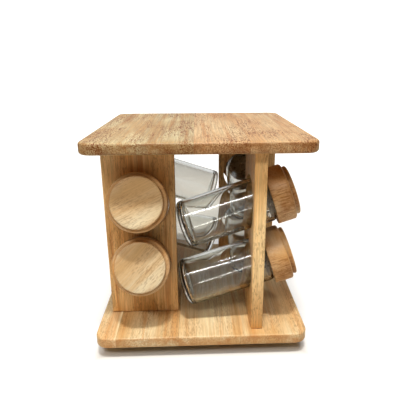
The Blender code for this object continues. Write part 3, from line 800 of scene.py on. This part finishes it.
def make_jars():
    """Eight jars leaning in their holes, each with a cap and a plug that ride together."""
    jar = turned(jar_outline())
    cap = turned(cap_outline())
    plug = turned(plug_outline())
    glass = clear_glass()
    plastic = plug_plastic()
    for side, side_name in enumerate(SIDES):
        for level, height in LEVELS:
            name = f"{side_name}_{level}"
            seed = 1.7 * side + (0.9 if level == "upper" else 0.0)
            place = jar_matrix(side, height)
            turn = 26 - 26 * side + (20 if level == "lower" else 0)
            twist = Matrix.Rotation(math.radians(turn), 4, "Z")
            wood = rubberwood("cap_wood_" + name, 11.0 + seed, pale=(222, 208, 176),
                              deep=(200, 165, 118), rich=(190, 140, 88), grain="X",
                              rich_share=0.35, ring=6.0, ring_strength=0.55, fine=0.14,
                              pith=(60.0, 10.0),
                              pore_strength=0.30, end_grain=(140, 84, 34), end_shade=1.0,
                              end_speck=(0.9, 0.08), rim=CAP_KNOB_RADIUS / MM)
            piece = add_piece("jar_" + name, jar.copy(), glass, place)
            stand_for(piece, "jar_" + name, "jar_glass", "glass_jar_" + name)
            piece = add_piece("cap_" + name, cap.copy(), wood, place @ twist)
            stand_for(piece, "cap_" + name, "cap_wood", "wooden_cap_" + name)
            piece = add_piece("plug_" + name, plug.copy(), plastic, place)
            stand_for(piece, "cap_" + name, "plug_plastic", "cap_plug_" + name)


# ---------------------------------------------------------------- swivel, feet and fasteners

def panel_screw_mesh():
    """A countersunk wood screw with a cross slot and ridges for thread, head at height zero."""
    length = SCREW_HIGH.z - SCREW_LOW.z
    core = SCREW_RADIUS * 0.7
    thread = length * THREAD_FROM
    outline = [(0, 0), (SCREW_HEAD_RADIUS - 0.2 * MM, 0), (SCREW_HEAD_RADIUS, 0.2 * MM),
               (SCREW_RADIUS, HEAD_DEPTH), (SCREW_RADIUS, thread)]
    pitch = (length * THREAD_TO - thread) / SCREW_THREADS
    for number in range(SCREW_THREADS):
        low = thread + pitch * number
        outline += [(core, low + 0.25 * pitch), (core, low + 0.75 * pitch)]
        outline += [(SCREW_RADIUS, low + pitch)]
    outline += [(core, length * POINT_FROM), (0, length)]
    return cross_slotted(turned(outline, 32), SCREW_HEAD_RADIUS * 1.2, HEAD_DEPTH * 0.7)


def plate_screw_mesh():
    """A short pan-head screw with a cross slot, crown down at height zero."""
    length = PLATE_SCREW_HIGH.z - PLATE_SCREW_LOW.z
    radius = (PLATE_SCREW_HIGH.x - PLATE_SCREW_LOW.x) / 2
    shank = radius * 0.44
    outline = [(0, 0)]
    outline += arc(radius - PAN_CROWN, PAN_CROWN, PAN_CROWN, -90, 90, 5)
    outline += [(radius, PAN_HEAD), (shank, PAN_HEAD), (shank, length * 0.8), (0, length)]
    return cross_slotted(turned(outline, 32), radius * 1.2, PAN_HEAD * 0.6)


def foot_mesh():
    """A moulded rubber foot with a soft lower edge, a shallow dish beneath and a barbed stem."""
    height = FOOT_HIGH.z - FOOT_LOW.z
    radius = (FOOT_HIGH.x - FOOT_LOW.x) / 2
    disc = LOWER_PLATE_LOW.z - GAP
    above = LOWER_PLATE_LOW.z + PLATE_THICKNESS + GAP
    stem = FOOT_STEM_RADIUS
    outline = [(0, FOOT_DISH), (radius * 0.45, FOOT_EASE), (radius * 0.55, 0)]
    outline += arc(radius - FOOT_EDGE, FOOT_EDGE, FOOT_EDGE, -90, 90, 6)
    outline += [(radius, disc - FOOT_EASE), (radius - FOOT_EASE, disc), (stem, disc)]
    outline += [(stem, above), (stem + FOOT_BARB, above), (stem - FOOT_BARB / 2, height)]
    outline += [(0, height)]
    return turned(outline, 48)


def lower_plate_mesh():
    """The fixed plate: pierced for the feet and a screwdriver, with a hub that curls outwards."""
    outline = round_rectangle(PLATE_SIDE, PLATE_SIDE, PLATE_CORNER, 8)
    holes = [(0.0, 0.0, HUB_RADIUS - PLATE_THICKNESS / 2)]
    holes += [hole_on_circle(FOOT_CIRCLE, angle, FOOT_HOLE_RADIUS) for angle in CORNER_ANGLES]
    holes.append(hole_on_circle(PLATE_SCREW_CIRCLE, ACCESS_HOLE_ANGLE, ACCESS_HOLE_RADIUS))
    plate = sawn(outline, holes, PLATE_THICKNESS, PLATE_ROUND, 2)
    low = -PLATE_THICKNESS / 2
    top = low + LOWER_PLATE_HIGH.z - LOWER_PLATE_LOW.z
    curl = top - PLATE_THICKNESS
    inside = HUB_RADIUS - PLATE_THICKNESS
    bend = HUB_CURL_ROUND
    hub = [(inside, low), (HUB_RADIUS, low), (HUB_RADIUS, curl - bend)]
    hub += [(HUB_RADIUS + bend, curl), (HUB_CURL_RADIUS - 0.3 * MM, curl)]
    hub += arc(HUB_CURL_RADIUS - bend, curl + bend, bend, -60, 150, 5)
    hub += arc(inside + HUB_LIP_ROUND, top - HUB_LIP_ROUND, HUB_LIP_ROUND, 90, 90, 5)
    return carve(plate, turned(hub), "UNION")


def upper_plate_mesh():
    """The turning plate: four screw holes, and a middle pressed down into the race."""
    outline = round_rectangle(PLATE_SIDE, PLATE_SIDE, PLATE_CORNER, 8)
    rim = RACE_OUTER_RADIUS + RACE_RIM
    inside = rim - PLATE_THICKNESS
    holes = [(0.0, 0.0, inside)]
    holes += [hole_on_circle(PLATE_SCREW_CIRCLE, angle, PLATE_SCREW_HOLE_RADIUS)
              for angle in CORNER_ANGLES]
    plate = sawn(outline, holes, PLATE_THICKNESS, PLATE_ROUND, 2)
    low = -PLATE_THICKNESS / 2 + RACE_BEND
    high = PLATE_THICKNESS / 2 - RACE_BEND
    race_bottom = PLATE_THICKNESS / 2 - (UPPER_PLATE_HIGH.z - UPPER_PLATE_LOW.z)
    race_top = race_bottom + PLATE_THICKNESS
    outer = RACE_OUTER_RADIUS
    dish = [(RACE_INNER_RADIUS, race_bottom), (outer, race_bottom)]
    dish += [(outer + 0.6 * MM, race_bottom + RACE_BEND), (inside, low), (rim, low), (rim, high)]
    dish += [(rim - 1.4 * MM, high), (outer - 0.2 * MM, race_top + RACE_BEND)]
    dish += [(outer - 0.8 * MM, race_top), (RACE_INNER_RADIUS, race_top)]
    return carve(plate, turned(dish), "UNION")


def ball_ring_mesh():
    """Bright balls in a thin cage, about the middle of the ring."""
    low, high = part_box("bearing_ball_ring")
    ball_radius = (high.z - low.z) / 2
    outer = high.x
    inner = outer - CAGE_WIDTH
    half = CAGE_THICKNESS / 2
    cage = [(inner, -half), (outer, -half), (outer, half), (inner, half)]
    parts = [(turned(cage), Matrix())]
    for number in range(BALL_COUNT):
        ball = bmesh.new()
        bmesh.ops.create_uvsphere(ball, u_segments=20, v_segments=12, radius=ball_radius)
        angle = math.tau * number / BALL_COUNT
        parts.append((bm_to_mesh(ball), on_circle((inner + outer) / 2, angle)))
    return join(parts)


def make_swivel():
    """The swivel under the base, its feet and the screws, each riding on its own body."""
    steel = plated_steel()
    rubber = foot_rubber()
    lower = add_piece("swivel_base", lower_plate_mesh(), steel,
                      Matrix.Translation((0, 0, LOWER_PLATE_LOW.z + PLATE_THICKNESS / 2)))
    stand_for(lower, "stand", "plated_steel", "swivel_lower_plate")
    upper = add_piece("swivel_top", upper_plate_mesh(), steel,
                      Matrix.Translation((0, 0, UPPER_PLATE_HIGH.z - PLATE_THICKNESS / 2)))
    stand_for(upper, "carousel", "plated_steel", "swivel_upper_plate")
    ring = add_piece("ball_cage", ball_ring_mesh(), steel,
                     Matrix.Translation((0, 0, middle("bearing_ball_ring").z)))
    stand_for(ring, "ball_ring", "plated_steel", "bearing_ball_ring")
    foot = foot_mesh()
    plate_screw = plate_screw_mesh()
    for name, angle in zip(CORNERS, CORNER_ANGLES):
        piece = add_piece("foot_" + name, foot.copy(), rubber, on_circle(FOOT_CIRCLE, angle))
        stand_for(piece, "stand", "foot_rubber", "rubber_foot_" + name)
        piece = add_piece("plate_screw_" + name, plate_screw.copy(), steel,
                          on_circle(PLATE_SCREW_CIRCLE, angle, PLATE_SCREW_LOW.z))
        stand_for(piece, "carousel", "plated_steel", "swivel_screw_" + name)
    panel_screw = panel_screw_mesh()
    for name in PANEL_SCREWS:
        place = middle(name)
        piece = add_piece("wood_" + name, panel_screw.copy(), steel,
                          Matrix.Translation((place.x, place.y, SCREW_LOW.z)))
        stand_for(piece, "carousel", "plated_steel", name)


def dress_dowels():
    """Gives the hidden dowels, which keep their own CAD solids, a plain pale wood."""
    wood = rubberwood("dowel_wood", 21.0, pale=(216, 190, 150), deep=(196, 164, 120),
                      rich=(196, 128, 66), grain="Z", end_shade=0.1)
    for name, node in frame["nodes"].items():
        if name.startswith("dowel"):
            for slot in node.material_slots:
                slot.material = wood


set_camera()
add_floor()
set_light()
make_boards()
make_panels()
make_jars()
make_swivel()
dress_dowels()
